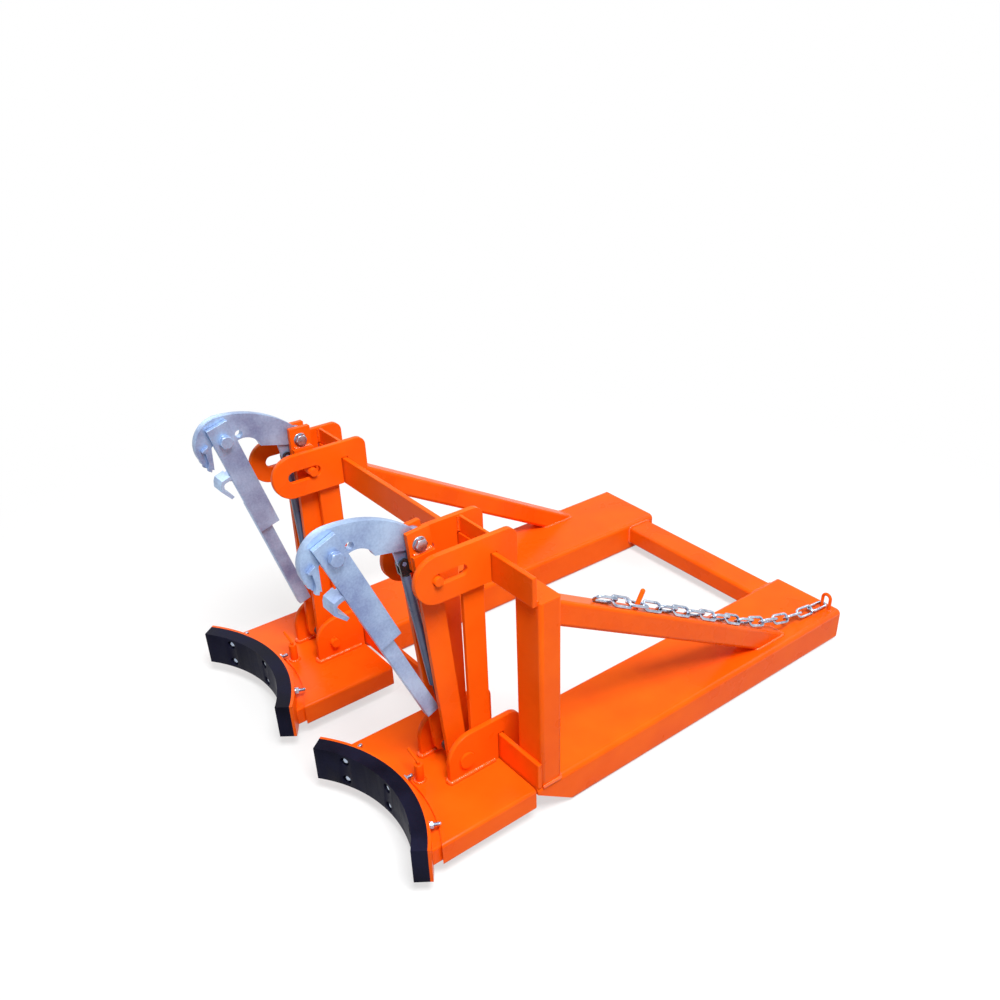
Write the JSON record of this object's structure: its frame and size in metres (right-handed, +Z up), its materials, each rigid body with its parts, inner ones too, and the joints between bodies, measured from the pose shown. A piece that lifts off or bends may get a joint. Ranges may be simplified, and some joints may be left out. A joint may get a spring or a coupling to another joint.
{
  "type": "fork-mounted drum lifter",
  "caption": "Welded frame with fork sleeves that carries sliding gripping heads, each with a curved rubber pad, a leaning arm, a gas spring and a beak with a clamping lever for a drum's rim.",
  "frame": {"origin": "middle of the part's outer box on the floor", "axes": "+X towards the head and sleeve that carry the chain, +Y towards the mouths of the fork sleeves, -Y towards the drums, +Z up"},
  "size_m": [0.917, 1.3046, 0.6981],
  "materials": {
    "orange_paint": "gloss",
    "galvanised_steel": "galvanised",
    "zinc_plate": "zinc plated",
    "pad_rubber": "matt",
    "spring_grey": "satin",
    "spring_black": "satin"
  },
  "bodies": {
    "frame": {"fork_sleeve_left": "orange_paint", "fork_sleeve_right": "orange_paint", "rear_cross_tube": "orange_paint", "post_left": "orange_paint", "post_right": "orange_paint", "brace_left": "orange_paint", "brace_right": "orange_paint", "upper_cross_bar": "orange_paint", "lower_cross_bar": "orange_paint", "chain_eye": "orange_paint", "chain_horn": "orange_paint", "safety_chain": "zinc_plate"},
    "head_right": {"saddle_right": "orange_paint", "bracket_plates_right": "orange_paint", "mast_bars_right": "orange_paint", "head_plates_right": "orange_paint", "head_spacer_right": "orange_paint", "pivot_pin_right": "orange_paint", "lock_boss_right": "orange_paint"},
    "lock_pin_right": {"lock_pin_right": "zinc_plate"},
    "pad_carriage_right": {"slide_box_right": "orange_paint", "pad_plate_right": "orange_paint", "rubber_pad_right": "pad_rubber", "pad_bolts_right": "zinc_plate"},
    "arm_right": {"arm_bars_right": "orange_paint", "arm_lugs_right": "orange_paint", "guide_pin_right": "orange_paint", "beak_bolt_right": "zinc_plate"},
    "beak_right": {"beak_hook_right": "galvanised_steel", "beak_claw_right": "zinc_plate", "lever_bolt_right": "zinc_plate"},
    "lever_right": {"lever_plate_right": "galvanised_steel", "lever_jaw_right": "galvanised_steel", "lever_bar_right": "galvanised_steel"},
    "spring_rod_right": {"spring_rod_right": "spring_black"},
    "spring_barrel_right": {"spring_barrel_right": "spring_grey"},
    "head_left": {"saddle_left": "orange_paint", "bracket_plates_left": "orange_paint", "mast_bars_left": "orange_paint", "head_plates_left": "orange_paint", "head_spacer_left": "orange_paint", "pivot_pin_left": "orange_paint", "lock_boss_left": "orange_paint"},
    "lock_pin_left": {"lock_pin_left": "zinc_plate"},
    "pad_carriage_left": {"slide_box_left": "orange_paint", "pad_plate_left": "orange_paint", "rubber_pad_left": "pad_rubber", "pad_bolts_left": "zinc_plate"},
    "arm_left": {"arm_bars_left": "orange_paint", "arm_lugs_left": "orange_paint", "guide_pin_left": "orange_paint", "beak_bolt_left": "zinc_plate"},
    "beak_left": {"beak_hook_left": "galvanised_steel", "beak_claw_left": "zinc_plate", "lever_bolt_left": "zinc_plate"},
    "lever_left": {"lever_plate_left": "galvanised_steel", "lever_jaw_left": "galvanised_steel", "lever_bar_left": "galvanised_steel"},
    "spring_rod_left": {"spring_rod_left": "spring_black"},
    "spring_barrel_left": {"spring_barrel_left": "spring_grey"}
  },
  "joints": [
    {"name": "head_slide_right", "type": "slide", "parent": "frame", "child": "head_right", "axis": [1, 0, 0], "range_m": [-0.06, 0.046]},
    {"name": "lock_pin_lift_right", "type": "slide", "parent": "head_right", "child": "lock_pin_right", "axis": [0, 0, 1], "range_m": [0, 0.025]},
    {"name": "pad_slide_right", "type": "slide", "parent": "head_right", "child": "pad_carriage_right", "axis": [0, -1, 0], "range_m": [0, 0.065]},
    {"name": "arm_tilt_right", "type": "hinge", "parent": "head_right", "child": "arm_right", "pos_m": [0.26, -0.39767, 0.126], "axis": [1, 0, 0], "range_deg": [-7.2, 0]},
    {"name": "beak_tilt_right", "type": "hinge", "parent": "arm_right", "child": "beak_right", "pos_m": [0.26, -0.44033, 0.61013], "axis": [1, 0, 0], "range_deg": [-20, 0]},
    {"name": "lever_swing_right", "type": "hinge", "parent": "beak_right", "child": "lever_right", "pos_m": [0.26, -0.59733, 0.64113], "axis": [1, 0, 0], "range_deg": [-6.2, 0]},
    {"name": "spring_swing_right", "type": "hinge", "parent": "arm_right", "child": "spring_rod_right", "pos_m": [0.26, -0.39767, 0.126], "axis": [1, 0, 0], "range_deg": [0, 1.21]},
    {"name": "spring_stroke_right", "type": "slide", "parent": "spring_rod_right", "child": "spring_barrel_right", "axis": [0, -0.1496, 0.9887], "range_m": [0, 0.01272]},
    {"name": "head_slide_left", "type": "slide", "parent": "frame", "child": "head_left", "axis": [1, 0, 0], "range_m": [-0.032, 0.06]},
    {"name": "lock_pin_lift_left", "type": "slide", "parent": "head_left", "child": "lock_pin_left", "axis": [0, 0, 1], "range_m": [0, 0.025]},
    {"name": "pad_slide_left", "type": "slide", "parent": "head_left", "child": "pad_carriage_left", "axis": [0, -1, 0], "range_m": [0, 0.065]},
    {"name": "arm_tilt_left", "type": "hinge", "parent": "head_left", "child": "arm_left", "pos_m": [-0.26, -0.39767, 0.126], "axis": [1, 0, 0], "range_deg": [-1.2, 6]},
    {"name": "beak_tilt_left", "type": "hinge", "parent": "arm_left", "child": "beak_left", "pos_m": [-0.26, -0.38949, 0.61194], "axis": [1, 0, 0], "range_deg": [-17, 0]},
    {"name": "lever_swing_left", "type": "hinge", "parent": "beak_left", "child": "lever_left", "pos_m": [-0.26, -0.54465, 0.65111], "axis": [1, 0, 0], "range_deg": [-2, 1]},
    {"name": "spring_swing_left", "type": "hinge", "parent": "arm_left", "child": "spring_rod_left", "pos_m": [-0.26, -0.39767, 0.126], "axis": [1, 0, 0], "range_deg": [0, 1.15]},
    {"name": "spring_stroke_left", "type": "slide", "parent": "spring_rod_left", "child": "spring_barrel_left", "axis": [0, -0.0415, 0.9991], "range_m": [0, 0.01018]}
  ],
  "couplings": [
    {"joint": "spring_swing_right", "follows": "beak_tilt_right", "ratio": -0.058012},
    {"joint": "spring_stroke_right", "follows": "beak_tilt_right", "m_per_rad": -0.035591},
    {"joint": "spring_swing_left", "follows": "beak_tilt_left", "ratio": -0.064733},
    {"joint": "spring_stroke_left", "follows": "beak_tilt_left", "m_per_rad": -0.033311}
  ]
}
